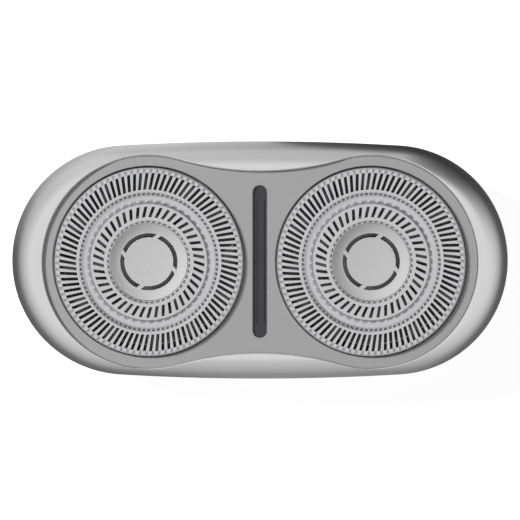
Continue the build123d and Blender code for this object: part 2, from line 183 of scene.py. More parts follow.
def shoulder_rows(reach, steps=40):
    """Rows from the side over the rounded shoulder and along the lip to the plate's recess.

    A row lies at a share of the path, which is a quarter circle and then flat, so it ends wherever the
    recess cuts the shoulder or the lip. The edge of the recess is a small quarter circle.
    """
    edge = reach - LIP_EDGE
    path = np.where(edge < SHOULDER, SHOULDER * np.arccos(np.clip(1 - edge / SHOULDER, -1, 1)),
                    SHOULDER * math.pi / 2 + edge - SHOULDER)
    share = np.linspace(0, 1, steps + 1)[1:, None]
    angle = np.minimum(share * path / SHOULDER, math.pi / 2)
    inset = SHOULDER * (1 - np.cos(angle)) + np.maximum(share * path - SHOULDER * math.pi / 2, 0)
    height = CROWN - SHOULDER * (1 - np.sin(angle))
    turn = np.linspace(0, math.pi / 2, 7)[1:, None]
    inset = np.concatenate([inset, edge + LIP_EDGE * np.sin(turn)])
    height = np.concatenate([height, height[-1] - LIP_EDGE * (1 - np.cos(turn))])
    return inset, height


def shell_grid():
    """Skin of the housing, row by row from under the deck, round the rim, to the foot of the recess."""
    skirt = rounded([
        (WALL, DECK_BOTTOM, 0), (WALL, GIRTH, GIRTH_ROUNDING), (RIM_INSET + WALL, 0, RIM_EDGE),
        (RIM_INSET, 0, RIM_EDGE), (0, GIRTH, GIRTH_ROUNDING), (0, CROWN - SHOULDER, 0)])
    reach = reach_to_plate(PLATE_FIT)
    inset, height = shoulder_rows(reach)
    skirt_rows = [raised(oval(across), up) for across, up in skirt]
    top_rows = [raised(oval(across), up) for across, up in zip(inset, height)]
    foot = raised(oval(reach), DECK_TOP)
    return np.stack(skirt_rows + top_rows + [foot])


def half_loop(plan, seam, side):
    """Outline of one half of the head, counter-clockwise: its part of the plan, then the seam."""
    half = len(plan) // 2
    outer = np.roll(plan, half if side < 0 else 0, axis=0)[: half + 1]
    return np.concatenate([outer, seam * -side])


def round_opening(loop, side):
    """The points of a comb's opening that face the points of a loop round it."""
    middle = np.array([side * COMB_X, 0.0])
    away = loop - middle
    return middle + OPENING * away / np.linalg.norm(away, axis=1)[:, None]


def deck_patches():
    """Both halves of the deck: top, wall of the opening and underside, each a ring of two rows."""
    patches = []
    for side in (-1, 1):
        rings = []
        for inset, height in ((reach_to_plate(PLATE_FIT), DECK_TOP), (WALL, DECK_BOTTOM)):
            plan = oval(inset)
            waist = -plan[0, 1]
            along = np.linspace(-waist, waist, SEAM_POINTS + 2)[1:-1]
            seam = np.stack([np.zeros(SEAM_POINTS), along], axis=1)
            loop = half_loop(plan, seam, side)
            rings.append((raised(loop, height), raised(round_opening(loop, side), height)))
        (top_out, top_in), (low_out, low_in) = rings
        patches.append((np.stack([top_out, top_in, low_in, low_out]), True, None))
    return patches


def prism(loop, low, high, chamfer=0.15):
    """Upright bar on a closed plan loop, with a chamfer round its lower end and both ends closed."""
    middle = loop.mean(axis=0)
    away = loop - middle
    drawn_in = middle + away * (1 - chamfer / np.linalg.norm(away, axis=1))[:, None]
    pole = np.repeat(middle[None], len(loop), axis=0)
    rows = [(pole, low), (drawn_in, low), (loop, low + chamfer), (loop, high), (pole, high)]
    return np.stack([raised(plan, height) for plan, height in rows]), True, None


def disc_loop(x, y, size, steps=48):
    """Circle of plan points."""
    angle = np.linspace(0, 2 * math.pi, steps, endpoint=False)
    return np.stack([x + size * np.cos(angle), y + size * np.sin(angle)], axis=1)


def bar_loop(x, y, wide, deep):
    """Rectangle of plan points, counter-clockwise."""
    return np.array([x, y]) + np.array([[1, -1], [1, 1], [-1, 1], [-1, -1]]) * [wide / 2, deep / 2]


def lug_patch(x, side):
    """Snap lug inside a long side: a wedge section in width and height, carried along the side."""
    inside = HALF_WIDTH - SIDE_CAMBER / 2 - RIM_INSET * (1 - LUG_MIDDLE / GIRTH) - WALL
    tip = inside - LUG_DEPTH
    root = inside + WALL / 2
    section = np.array([[root, LUG_MIDDLE - LUG_HALF], [tip, LUG_MIDDLE],
                        [tip, LUG_MIDDLE + LUG_FLAT], [root, LUG_MIDDLE + LUG_HALF]])
    bar, wrapped, kept = prism(section, -LUG_LENGTH / 2, LUG_LENGTH / 2, LUG_CHAMFER)
    placed = np.stack([bar[..., 2], bar[..., 0], bar[..., 1]], axis=-1)
    return placed * [side, side, 1] + [x, 0, 0], wrapped, kept


def build_mesh(name, patches, flats, material, sharp):
    """One object from grids of points and flat faces, merged at shared edges, smooth up to an angle.

    A patch is a grid of rows by columns, whether its last column joins its first, and which of its
    quads are kept. Rows that run up an outer side, with columns counter-clockwise, face outwards. A
    flat face is its points and its triangles.
    """
    points, faces, start = [], [], 0
    for grid, wrapped, kept in patches:
        rows, columns = grid.shape[:2]
        index = np.arange(rows * columns).reshape(rows, columns) + start
        here = index if wrapped else index[:, :-1]
        there = np.roll(index, -1, axis=1) if wrapped else index[:, 1:]
        quads = np.stack([here[:-1], there[:-1], there[1:], here[1:]], axis=-1)
        points.append(grid.reshape(-1, 3))
        faces += (quads[kept] if kept is not None else quads.reshape(-1, 4)).tolist()
        start += rows * columns
    for corners, triangles in flats:
        points.append(corners)
        faces += (triangles + start).tolist()
        start += len(corners)
    mesh = bpy.data.meshes.new(name)
    mesh.from_pydata((np.concatenate(points) * MM).tolist(), [], faces)
    work = bmesh.new()
    work.from_mesh(mesh)
    bmesh.ops.remove_doubles(work, verts=work.verts, dist=0.0005 * MM)
    loose = [vertex for vertex in work.verts if not vertex.link_faces]
    bmesh.ops.delete(work, geom=loose, context="VERTS")
    work.to_mesh(mesh)
    work.free()
    mesh.shade_smooth()
    mesh.set_sharp_from_angle(angle=math.radians(sharp))
    mesh.materials.append(material)
    piece = bpy.data.objects.new(name, mesh)
    bpy.context.scene.collection.objects.link(piece)
    return piece


def put_piece(name, patches, material, body, replaced, flats=(), sharp=40):
    """A piece that moves with a body, stands for a node and takes the finish it is given."""
    piece = build_mesh(name, patches, flats, material, sharp)
    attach(piece, body)
    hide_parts(replaced)
    return piece


def colour(hex_value):
    """Linear colour of an sRGB hex value such as c8c8c8."""
    parts = [int(hex_value[at:at + 2], 16) / 255 for at in (0, 2, 4)]
    linear = [p / 12.92 if p <= 0.04045 else ((p + 0.055) / 1.055) ** 2.4 for p in parts]
    return (*linear, 1.0)


def node(tree, kind, inputs, **settings):
    """Adds a node, sets its properties, and gives each named socket a value or a link."""
    added = tree.nodes.new(kind)
    for key, value in settings.items():
        setattr(added, key, value)
    for socket, value in inputs.items():
        if isinstance(value, bpy.types.NodeSocket):
            tree.links.new(value, added.inputs[socket])
        else:
            added.inputs[socket].default_value = value
    return added


def blank_material(name):
    """A material with its output alone, and the Object coordinates that its patterns read."""
    material = bpy.data.materials.new(name)
    material.use_nodes = True
    tree = material.node_tree
    tree.nodes.clear()
    place = node(tree, "ShaderNodeTexCoord", {}).outputs["Object"]
    return material, tree, place


def finish_material(tree, shader):
    """Joins a shader to the material's output."""
    node(tree, "ShaderNodeOutputMaterial", {"Surface": shader.outputs[0]})


def speckled(tree, place, grain_mm, dark, light, roughness, bump_mm, smooth=None):
    """Grain of a given size that varies the colour between two tones, the roughness and the height.

    Returns the sockets for the base colour, the roughness and the normal.
    """
    grain = node(tree, "ShaderNodeTexNoise",
                 {"Vector": place, "Scale": 1 / (grain_mm * MM), "Detail": 2.0, "Roughness": 0.6})
    fac = grain.outputs["Fac"]
    tone = node(tree, "ShaderNodeMix", {"Factor": fac, 6: colour(dark), 7: colour(light)},
                data_type="RGBA")
    rough = node(tree, "ShaderNodeMapRange",
                 {"Value": fac, "To Min": roughness - 0.05, "To Max": roughness + 0.05})
    height = {"Height": fac, "Strength": 1.0, "Distance": bump_mm * MM}
    if smooth is not None:
        height["Normal"] = smooth
    bump = node(tree, "ShaderNodeBump", height)
    return tone.outputs[2], rough.outputs["Result"], bump.outputs["Normal"]


def silver_coat():
    """ABS with a satin silver coat: fine metal flakes under a thin clear film, sprayed.

    The flakes reflect the light softly and keep it grey, and the spray leaves a faint orange peel.
    The flakes are drawn at 0.25 mm, coarser than they are, so that they show at all.
    """
    material, tree, place = blank_material("silver_coat")
    tone, rough, bump = speckled(tree, place, 0.25, "dcdcdd", "e4e4e5", 0.34, 0.0015)
    shader = node(tree, "ShaderNodeBsdfPrincipled",
                  {"Base Color": tone, "Roughness": rough, "Normal": bump, "Metallic": 1.0})
    finish_material(tree, shader)
    return material


shell = [(shell_grid(), True, None), *deck_patches()]
shell.append(prism(bar_loop(0, 0, *MIDDLE_RIB), FRAME_TOP, DECK_BOTTOM + SUNK))
shell += [prism(disc_loop(0, y, PILLAR_RADIUS), FRAME_TOP, DECK_BOTTOM + SUNK)
          for y in (-PILLAR_Y, PILLAR_Y)]
shell += [prism(bar_loop(x, y, *GUIDE), FRAME_TOP, DECK_BOTTOM + SUNK)
          for x in (-GUIDE_X, GUIDE_X) for y in (-GUIDE_Y, GUIDE_Y)]
shell.append(prism(disc_loop(0, 0, STEM_RADIUS), FRAME_TOP - STEM_LENGTH, FRAME_TOP + SUNK))
shell += [lug_patch(x, side) for x in (-LUG_X, LUG_X) for side in (-1, 1)]
put_piece("housing_shell", shell, silver_coat(), "housing", "head_housing")

# Face plate: a flat plate let into the housing, with two round openings and a slot at mid length.
# It is stamped and has a fine matte silver coat; its edges are only just broken. It lies against
# the lower side of its recess, so the gap shows along the upper side.
PLATE_TOP = 14.2
SLOT_HALF = 9.55
SLOT_RADIUS = 0.9
PLATE_EDGE = 0.07
PLATE_SETTLED = 0.07


def slot_loop(grow, steps=16):
    """Slot's outline, clockwise from its lower end: straight sides between quarter circles."""
    size = SLOT_RADIUS + grow
    turn = np.linspace(0, math.pi / 2, steps)
    lower = np.stack([-size * np.sin(turn), SLOT_RADIUS - SLOT_HALF - size * np.cos(turn)], axis=1)
    left = np.concatenate([lower, lower[::-1] * [1, -1]])
    return np.concatenate([left[1:], -left[1:]])


def flat_face(loops, height, upward):
    """Triangles of a flat face inside the first loop and outside the others, turned up or down."""
    plan = np.concatenate(loops)
    corners = [[Vector((*point, 0)) for point in loop] for loop in loops]
    triangles = np.array(tessellate_polygon(corners))
    first, second, third = plan[triangles].transpose(1, 0, 2)
    (along_x, along_y), (across_x, across_y) = (second - first).T, (third - first).T
    backwards = (along_x * across_y - along_y * across_x > 0) != upward
    triangles[backwards] = triangles[backwards][:, ::-1]
    return raised(plan, height), triangles


def plate_loops(edge):
    """Outline of the plate, counter-clockwise, and its holes, clockwise, wider by a chamfer."""
    openings = [disc_loop(x, 0, OPENING + edge, steps=288)[::-1] for x in (-COMB_X, COMB_X)]
    return [oval(reach_to_plate(0.0)) - [0, PLATE_SETTLED], *openings, slot_loop(edge)]


def plate_walls():
    """Walls of the outline and the holes: up from the deck, then over a small chamfer to the face."""
    upright = PLATE_TOP - PLATE_EDGE
    return [(np.stack([raised(full, DECK_TOP), raised(full, upright), raised(cut, PLATE_TOP)]), True, None)
            for full, cut in zip(plate_loops(0.0), plate_loops(PLATE_EDGE))]


def matte_coat():
    """Plate with a matte silver coat: metal flakes in a dull binder, sprayed.

    It spreads the light almost like paint, so the flat face stays one even grey.
    """
    material, tree, place = blank_material("matte_silver_coat")
    tone, rough, bump = speckled(tree, place, 0.2, "9e9e9f", "aaaaab", 0.55, 0.002)
    shader = node(tree, "ShaderNodeBsdfPrincipled",
                  {"Base Color": tone, "Roughness": rough, "Normal": bump, "Metallic": 0.35})
    finish_material(tree, shader)
    return material


plate_flats = [flat_face(plate_loops(PLATE_EDGE), PLATE_TOP, True),
               flat_face(plate_loops(0.0), DECK_TOP, False)]
put_piece("face_plate_skin", plate_walls(), matte_coat(), "housing", "face_plate",
          plate_flats)

# Slot insert: a moulded charcoal strip in the plate's slot, a little below its face.
# Two fine ribs run along it.
STRIP_TOP = 13.8
STRIP_FIT = 0.05
RIB_X = 0.45
RIB_WIDTH = 0.22
RIB_HEIGHT = 0.12
RIB_END = 7.75
RIB_STEP = 0.04


def strip_grid(across_steps=61, along_steps=90):
    """Height field over the slot: lines along it end on its round ends, and ribs are smooth steps."""
    width = SLOT_RADIUS - STRIP_FIT
    x = width * np.sin(np.linspace(math.pi / 2, -math.pi / 2, across_steps))
    share = np.sin(np.linspace(-math.pi / 2, math.pi / 2, along_steps))[:, None]
    y = share * (SLOT_HALF - SLOT_RADIUS + np.sqrt(np.maximum(width**2 - x**2, 0)))
    rib = 1 / (1 + np.exp((np.abs(np.abs(x) - RIB_X) - RIB_WIDTH / 2) / RIB_STEP * 2))
    ends = 1 / (1 + np.exp((np.abs(y) - RIB_END) / RIB_STEP * 2))
    z = STRIP_TOP + RIB_HEIGHT * rib * ends
    return np.stack([np.broadcast_to(x, y.shape), y, z], axis=-1)


def moulded(name, dark, light, grain_mm=0.15, roughness=0.5, edge_mm=0.1):
    """ABS or acetal moulded in a spark-eroded tool: a dull, finely pitted skin with softened edges."""
    material, tree, place = blank_material(name)
    soft = node(tree, "ShaderNodeBevel", {"Radius": edge_mm * MM}, samples=6).outputs["Normal"]
    tone, rough, bump = speckled(tree, place, grain_mm, dark, light, roughness, 0.004, soft)
    shader = node(tree, "ShaderNodeBsdfPrincipled",
                  {"Base Color": tone, "Roughness": rough, "Normal": bump})
    finish_material(tree, shader)
    return material


charcoal = moulded("charcoal_abs", "2c2c2e", "373739")
strip = strip_grid()
foot = strip.copy()
foot[..., 2] = DECK_TOP
rim = np.concatenate([strip[:, 0], strip[::-1, -1]])
low = np.concatenate([foot[:, 0], foot[::-1, -1]])
put_piece("slot_strip", [(strip[:, ::-1], False, None), (np.stack([low, rim])[:, ::-1], True, None),
                         (foot, False, None)],
          charcoal, "housing", "slot_insert")

# Cutters: stamped steel spiders with two rings of leaning blades, on moulded hubs under the combs.
# They keep their solids. Painted shade darkens the steel towards the tips, under the combs, and the hubs
# are slate grey plastic.
RING_TOP = 11.75
BLADE_TIP = 14.6
BLADE_EDGE = 0.04


def dress(name, material):
    """Gives a node of the frame its finish."""
    slots = nodes[name].data.materials
    slots.clear()
    slots.append(material)


def steel(name, dark, light, roughness, grain_mm, bump_mm=0.002, edge_mm=0.0, metallic=1.0):
    """Stainless or spring steel, ground or tumbled: neutral grey metal with a fine soft grain."""
    material, tree, place = blank_material(name)
    soft = None
    if edge_mm:
        soft = node(tree, "ShaderNodeBevel", {"Radius": edge_mm * MM}, samples=6).outputs["Normal"]
    tone, rough, bump = speckled(tree, place, grain_mm, dark, light, roughness, bump_mm, soft)
    shader = node(tree, "ShaderNodeBsdfPrincipled",
                  {"Base Color": tone, "Roughness": rough, "Normal": bump, "Metallic": metallic})
    finish_material(tree, shader)
    return material


def cutter_steel_painted_shade():
    """Hardened strip, stamped: grey metal at the ring, darker towards the tips as painted shade under the
    combs.
    """
    material, tree, place = blank_material("cutter_steel_tip_shade")
    soft = node(tree, "ShaderNodeBevel", {"Radius": BLADE_EDGE * MM}, samples=6).outputs["Normal"]
    tone, rough, bump = speckled(tree, place, 0.1, "8a8a8c", "98989a", 0.45, 0.002, soft)
    # Painted shade: the colour darkens with height from the ring to the blade tips under the comb slots.
    height = node(tree, "ShaderNodeSeparateXYZ", {"Vector": place}).outputs["Z"]
    rise = node(tree, "ShaderNodeMapRange",
                {"Value": height, "From Min": RING_TOP * MM, "From Max": BLADE_TIP * MM})
    dark = node(tree, "ShaderNodeMix", {"Factor": rise.outputs["Result"], 6: tone, 7: colour("525254")},
                data_type="RGBA")
    shader = node(tree, "ShaderNodeBsdfPrincipled",
                  {"Base Color": dark.outputs[2], "Roughness": rough, "Normal": bump, "Metallic": 0.75})
    finish_material(tree, shader)
    return material


hub_plastic = moulded("slate_acetal", "505052", "5c5c5e")
# Cutter steel with painted shade at the blade tips.
cutter_steel = cutter_steel_painted_shade()
for name in ("left", "right"):
    dress(f"cutter_blades_{name}", cutter_steel)
    dress(f"cutter_hub_{name}", hub_plastic)

# Combs: thin stainless sheet pressed into two tracks with a groove between them, then slotted.
# Each has 90 slots outside and 45 inside, straight cuts that pass beside the axis, dots in the walls
# and windows beside the inner track.
CREST = 15.0
SHEET = 0.25
FLANGE_TOP = 12.15
FLANGE_RADIUS = 12.6
COMB_RADIUS = 11.8
GROOVE_FLOOR = 14.45
SEAT = 14.2
SLOT_OFFSET = 1.85
SLOT_PHASE = math.radians(5.55)
SLOT_WIDTH = 0.38
PITCHES = 45
PER_PITCH = 12
EAR_END = 14.2
EAR_WIDTH = 2.4
FOOT_ROUNDING = 0.1
CORNER_ROUNDING = 0.28
TRACK_ROUNDING = 0.14
DOT_ROUNDING = 0.02
SEAT_ROUNDING = 0.03
DIMPLE = 0.3
DIMPLE_AT = 11.56
DIMPLE_REACH = 0.08
POCKET_FLOOR = 14.24
POCKET_FROM = 7.35
CAP_HOLE = 3.9
DOTS = (0.34, 0.92)
INNER_DOTS = (0.3, 0.8)
WALL_STEPS = (0.35, 0.7)

outer_slot = (11.18, 9.08)
inner_slot = (6.97, 5.63)
outer_track_inside = (8.85, CREST)
dots_inside = (8.32, 14.82)
groove_outside = (8.3, GROOVE_FLOOR)
groove_middle = (8.02, GROOVE_FLOOR)
pocket_outside = (7.7, GROOVE_FLOOR)
pocket_middle = (7.64, GROOVE_FLOOR)
groove_inside = (7.5, GROOVE_FLOOR)
inner_track_outside = (7.3, CREST)
inner_track_inside = (5.3, CREST)
seat_top = (4.87, 14.86)
seat_outside = (4.85, SEAT)


def along_wall(start, end, shares):
    """Corners without rounding at shares of the way from one corner to another."""
    start, end = np.array(start), np.array(end)
    return [(*(start + share * (end - start)), 0) for share in shares]


def comb_profile():
    """Upper side of the sheet from the flange over both tracks to the hole for the cap."""
    flat = [(r, CREST, 0) for r in np.linspace(*outer_slot, 7)]
    inner_flat = [(r, CREST, 0) for r in np.linspace(*inner_slot, 6)]
    return rounded([
        (FLANGE_RADIUS, FLANGE_TOP, 0), (COMB_RADIUS, FLANGE_TOP, FOOT_ROUNDING),
        (COMB_RADIUS, CREST, CORNER_ROUNDING), *flat, (*outer_track_inside, TRACK_ROUNDING),
        *along_wall(outer_track_inside, dots_inside, DOTS), (*dots_inside, DOT_ROUNDING),
        (*groove_outside, DOT_ROUNDING), (*groove_middle, 0), (*pocket_outside, 0), (*pocket_middle, 0),
        (*groove_inside, 0), *along_wall(groove_inside, inner_track_outside, WALL_STEPS),
        (*inner_track_outside, TRACK_ROUNDING), *inner_flat, (*inner_track_inside, TRACK_ROUNDING),
        *along_wall(inner_track_inside, seat_top, INNER_DOTS), (*seat_top, SEAT_ROUNDING),
        (*seat_outside, 0.04), (CAP_HOLE, SEAT, 0)])


def column_angles(r):
    """Angle of every column at every radius, so that columns run along the slots.

    A slot's edge is a line at a set distance from the axis, so its angle is the slot's direction plus
    the arcsine of that distance over the radius. Columns between two edges are spaced evenly. The
    tracks have their own edges and the windows an even spacing, and rows in the groove and at the inner
    track's corner pass from one to the next.
    """
    pitch = 2 * math.pi / PITCHES
    near = np.arcsin((SLOT_OFFSET - SLOT_WIDTH / 2) / r)[:, None]
    far = np.arcsin((SLOT_OFFSET + SLOT_WIDTH / 2) / r)[:, None]
    column = np.arange(PER_PITCH)

    def between(stations, knots):
        knots = np.concatenate(knots, axis=1)
        weights = np.stack([np.interp(column, stations, unit) for unit in np.eye(len(stations))])
        return knots @ weights

    outer = between([0, 2, 6, 8, 12], [near, far, near + pitch / 2, far + pitch / 2, near + pitch])
    inner = between([0, 2, 12], [near, far, near + pitch])
    even = (near + far) / 2 + (column - 1) / PER_PITCH * pitch
    to_even = np.interp(r, [pocket_outside[0], groove_outside[0]], [1, 0])[:, None]
    to_inner = np.interp(r, [inner_slot[0], inner_track_outside[0] - 0.1], [1, 0])[:, None]
    offsets = outer + (even - outer) * to_even
    offsets = offsets + (inner - offsets) * to_inner
    start = SLOT_PHASE + pitch * np.arange(PITCHES)
    return (start[None, :, None] + offsets[:, None, :]).reshape(len(r), -1)


def comb_patches(side):
    """Sheet of one comb with its slots and dots left out, its windows sunk, and the ear on its flange.

    Dimples in the outer corner are bell curves of the radius, and a window is a floor that slopes down
    towards the inner track.
    """
    r, z = comb_profile().T
    angle = column_angles(r)
    column = np.arange(PITCHES * PER_PITCH) % PER_PITCH
    height = np.repeat(z[:, None], len(column), axis=1)
    on_corner = np.exp(-((r - DIMPLE_AT) / DIMPLE_REACH) ** 2) * (z > GROOVE_FLOOR)
    between_slots = np.isin(column, (3, 4, 9, 10)) * 1.0
    height -= DIMPLE * on_corner[:, None] * between_slots
    in_pocket = (r > POCKET_FROM) & (r < pocket_outside[0])
    floor = np.interp(r, [inner_track_outside[0], pocket_outside[0]], [POCKET_FLOOR, GROOVE_FLOOR])
    height = np.where(in_pocket[:, None] & (column > 4), np.minimum(height, floor[:, None]), height)
    x = side * COMB_X + r[:, None] * np.cos(angle)
    grid = np.stack([x, r[:, None] * np.sin(angle), height], axis=-1)

    middle = (r[1:] + r[:-1]) / 2

    def rows_in(outer, inner):
        return ((middle < outer) & (middle > inner))[:, None]

    def rows_of_dots(start, end, shares):
        return rows_in(*(start[0] + share * (end[0] - start[0]) for share in shares))

    both = np.isin(column, (0, 1, 6, 7))
    single = np.isin(column, (0, 1))
    open_quads = rows_in(*outer_slot) & both
    open_quads |= rows_in(*inner_slot) & single
    open_quads |= rows_of_dots(outer_track_inside, dots_inside, DOTS) & both
    open_quads |= rows_of_dots(inner_track_inside, seat_top, INNER_DOTS) & single

    y = np.linspace(-EAR_WIDTH / 2, EAR_WIDTH / 2, 9)
    ear_x = np.stack([np.sqrt(FLANGE_RADIUS**2 - y**2), np.full_like(y, EAR_END)], axis=1)
    ear = np.stack([side * (COMB_X + ear_x), side * np.repeat(y[:, None], 2, axis=1),
                    np.full(ear_x.shape, FLANGE_TOP)], axis=-1)
    return [(grid, True, ~open_quads), (ear, False, None)]


def thicken(piece, thickness, sharp=35):
    """Gives a sheet its thickness on the inner side and marks the edges of its cuts."""
    wall = piece.modifiers.new("sheet", "SOLIDIFY")
    wall.thickness = thickness * MM
    wall.offset = -1
    wall.use_even_offset = True
    seen = piece.evaluated_get(bpy.context.evaluated_depsgraph_get())
    mesh = bpy.data.meshes.new_from_object(seen)
    piece.modifiers.clear()
    piece.data = mesh
    mesh.set_sharp_from_angle(angle=math.radians(sharp))


comb_steel = steel("tumbled_comb_steel", "cacacc", "d6d6d7", 0.4, 0.12, 0.0015, metallic=0.88)
for name, side in (("left", -1), ("right", 1)):
    sheet = put_piece(f"slotted_comb_{name}", comb_patches(side), comb_steel, f"{name}_comb",
                      f"comb_{name}")
    thicken(sheet, SHEET)

# Caps: pressed stainless discs in the middle of the combs, with a dish and four slanted arc slots.
# A pin below each carries the cutter. The face is satin.
CAP_RIM = 4.83
CAP_RIM_TOP = 14.82
CAP_TOP = 14.22
CAP_BOTTOM = 13.95
RIM_WIDTH = 0.06
DISH_POWER = 1.35
HOLLOW = 0.12
PIN_RADIUS = 0.9
PIN_END = 12.35
SPIGOT = 3.85
ARC_OUTSIDE = 3.58
ARC_INSIDE = 3.06
BRIDGE = 0.48
BRIDGE_PHASE = math.radians(38)
ARCS = 4
PER_ARC = 48
BRIDGE_COLUMNS = 4


def cap_angles(r):
    """Angle of every column at every radius: bridges are straight bars beside the axis, then arcs."""
    quarter = 2 * math.pi / ARCS
    held = np.clip(r, ARC_INSIDE, ARC_OUTSIDE)
    near = np.arcsin((SLOT_OFFSET - BRIDGE / 2) / held)[:, None]
    far = np.arcsin((SLOT_OFFSET + BRIDGE / 2) / held)[:, None]
    column = np.arange(PER_ARC)
    bar = np.clip(column / BRIDGE_COLUMNS, 0, 1)
    arc = np.clip((column - BRIDGE_COLUMNS) / (PER_ARC - BRIDGE_COLUMNS), 0, 1)
    offsets = near + (far - near) * bar + (near + quarter - far) * arc
    start = BRIDGE_PHASE + quarter * np.arange(ARCS)
    return (start[None, :, None] + offsets[:, None, :]).reshape(len(r), -1)


def cap_patches(side):
    """Turned skin of a cap with the arc slots left out above and below, and the walls of those slots.

    The dish rises from the arc slots to the rim with a power of the distance, so it is steepest at the
    rim. The middle is hollow, with a depth that falls off with the square of the distance.
    """
    across = np.linspace(CAP_RIM - RIM_WIDTH, ARC_OUTSIDE, 12)[:-1]
    rise = ((across - ARC_OUTSIDE) / (CAP_RIM - ARC_OUTSIDE)) ** DISH_POWER
    dish = [(r, CAP_TOP + (CAP_RIM_TOP - CAP_TOP) * share, 0) for r, share in zip(across, rise)]
    shares = np.linspace(0.9, 0.15, 7)
    hollow = [(ARC_INSIDE * share, CAP_TOP - HOLLOW * (1 - share**2), 0) for share in shares]
    profile = rounded([
        (0, PIN_END, 0), (PIN_RADIUS, PIN_END, 0.2), (PIN_RADIUS, CAP_BOTTOM, 0.1),
        (ARC_INSIDE, CAP_BOTTOM, 0), (ARC_OUTSIDE, CAP_BOTTOM, 0), (SPIGOT, CAP_BOTTOM, 0.03),
        (SPIGOT, SEAT, 0), (CAP_RIM, SEAT, 0.05), (CAP_RIM, CAP_RIM_TOP, 0.03), *dish,
        (ARC_OUTSIDE, CAP_TOP, 0), (ARC_INSIDE, CAP_TOP, 0), *hollow, (0, CAP_TOP - HOLLOW, 0)])
    r, z = profile.T
    angle = cap_angles(r)
    grid = np.stack([side * COMB_X + r[:, None] * np.cos(angle), r[:, None] * np.sin(angle),
                     np.repeat(z[:, None], angle.shape[1], axis=1)], axis=-1)
    column = np.arange(angle.shape[1]) % PER_ARC
    middle = (r[1:] + r[:-1]) / 2
    in_ring = (middle > ARC_INSIDE) & (middle < ARC_OUTSIDE)
    in_slot = in_ring[:, None] & (column >= BRIDGE_COLUMNS)
    patches = [(grid, True, ~in_slot)]
    edge = cap_angles(np.array([ARC_OUTSIDE, ARC_INSIDE]))
    for first in range(0, angle.shape[1], PER_ARC):
        span = (first + np.arange(BRIDGE_COLUMNS, PER_ARC + 1)) % angle.shape[1]
        turn = np.concatenate([edge[0, span], edge[1, span[::-1]]])
        size = np.repeat([ARC_OUTSIDE, ARC_INSIDE], len(span))
        loop = np.stack([side * COMB_X + size * np.cos(turn), size * np.sin(turn)], axis=1)
        patches.append((np.stack([raised(loop, CAP_TOP), raised(loop, CAP_BOTTOM)]), True, None))
    return patches


cap_steel = steel("satin_cap_steel", "b4b4b5", "c0c0c1", 0.5, 0.1, 0.0015, metallic=0.15)
for name, side in (("left", -1), ("right", 1)):
    put_piece(f"dished_cap_{name}", cap_patches(side), cap_steel, f"{name}_comb", f"comb_cap_{name}",
              sharp=50)

# Springs: three leaves of bare spring strip under each comb's flange, bent into an arch.
# Their feet stand in seats of the frame. On the real head they flatten as the comb is pressed in; here
# they are fixed to the housing.
SPRING_SPAN = 5.0
SPRING_WIDTH = 0.9
SPRING_SHEET = 0.2
SPRING_RING = COMB_RADIUS - SHEET / 2
SPRING_ANGLES = (60, 180, 300)


def leaf_grid(side, angle, foot, top):
    """Arched strip: rows along the arch, each with the corners of the strip's section, and closed ends.

    Both faces are arcs through the two feet and the top. An arc's radius is the sum of the squares of
    half its span and its height, over twice the height.
    """
    arcs = []
    for inset in (0.0, SPRING_SHEET):
        half = SPRING_SPAN / 2 - inset
        height = top - foot - inset
        size = (half**2 + height**2) / (2 * height)
        reach = math.acos((size - height) / size)
        turn = np.linspace(-reach, reach, 41)
        arcs.append((size * np.sin(turn), foot + height - size + size * np.cos(turn)))
    (outer_y, outer_z), (inner_y, inner_z) = arcs
    y = np.stack([outer_y, inner_y, inner_y, outer_y], axis=1)
    z = np.stack([outer_z, inner_z, inner_z, outer_z], axis=1)
    r = SPRING_RING + SPRING_WIDTH / 2 * np.array([1, 1, -1, -1])
    along = math.radians(angle if side < 0 else 180 - angle)
    strip = np.stack([side * COMB_X + r * math.cos(along) - y * math.sin(along),
                      r * math.sin(along) + y * math.cos(along), z], axis=-1)
    ends = np.repeat(strip[[0, -1]].mean(axis=1, keepdims=True), 4, axis=1)
    return np.concatenate([ends[:1], strip, ends[1:]])


spring_steel = steel("spring_strip", "8e8e90", "a2a2a4", 0.35, 0.1)
for name, side in (("left", -1), ("right", 1)):
    for number, angle in enumerate(SPRING_ANGLES, start=1):
        spring = f"float_spring_{name}_{number}"
        foot, top = (corner[2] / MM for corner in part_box(spring))
        arch = [(leaf_grid(side, angle, foot, top), True, None)]
        leaf = put_piece(f"float_leaf_{name}_{number}", arch, spring_steel, "housing", spring)
        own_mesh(leaf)

# Frame, latch and screw: what holds the combs and cutters in from below.
# The frame and the latch are moulded, and the screw is zinc plated.
dress("retaining_frame", moulded("dark_grey_abs", "55565a", "616266", edge_mm=0.2))
dress("frame_latch", moulded("light_grey_acetal", "a9aaac", "b5b6b8", edge_mm=0.2, roughness=0.42))
dress("latch_screw", steel("zinc_screw_steel", "b0b1b4", "c0c1c3", 0.3, 0.15, edge_mm=0.1))

# Stage: white paper round the head and plain paper under it, where the head keeps the light out.
# Both are clear to a camera below them. A grey sheet lies on the paper for gloss alone: it paints a
# dark reflection into the silver edges, though the camera sees white paper there.
PAPER_SIZE = 1500.0
UNDER_RIM = 2.0
REFLECTION_SHEET_HEIGHT = 0.3


def clear_from_below(tree, shader):
    """Leaves paper out where the camera looks at its back, so that the underside of the head shows."""
    seen = node(tree, "ShaderNodeLightPath", {}).outputs["Is Camera Ray"]
    back = node(tree, "ShaderNodeNewGeometry", {}).outputs["Backfacing"]
    both = node(tree, "ShaderNodeMath", {0: seen, 1: back}, operation="MULTIPLY")
    clear = node(tree, "ShaderNodeBsdfTransparent", {})
    return node(tree, "ShaderNodeMixShader",
                {0: both.outputs[0], 1: shader.outputs[0], 2: clear.outputs[0]})


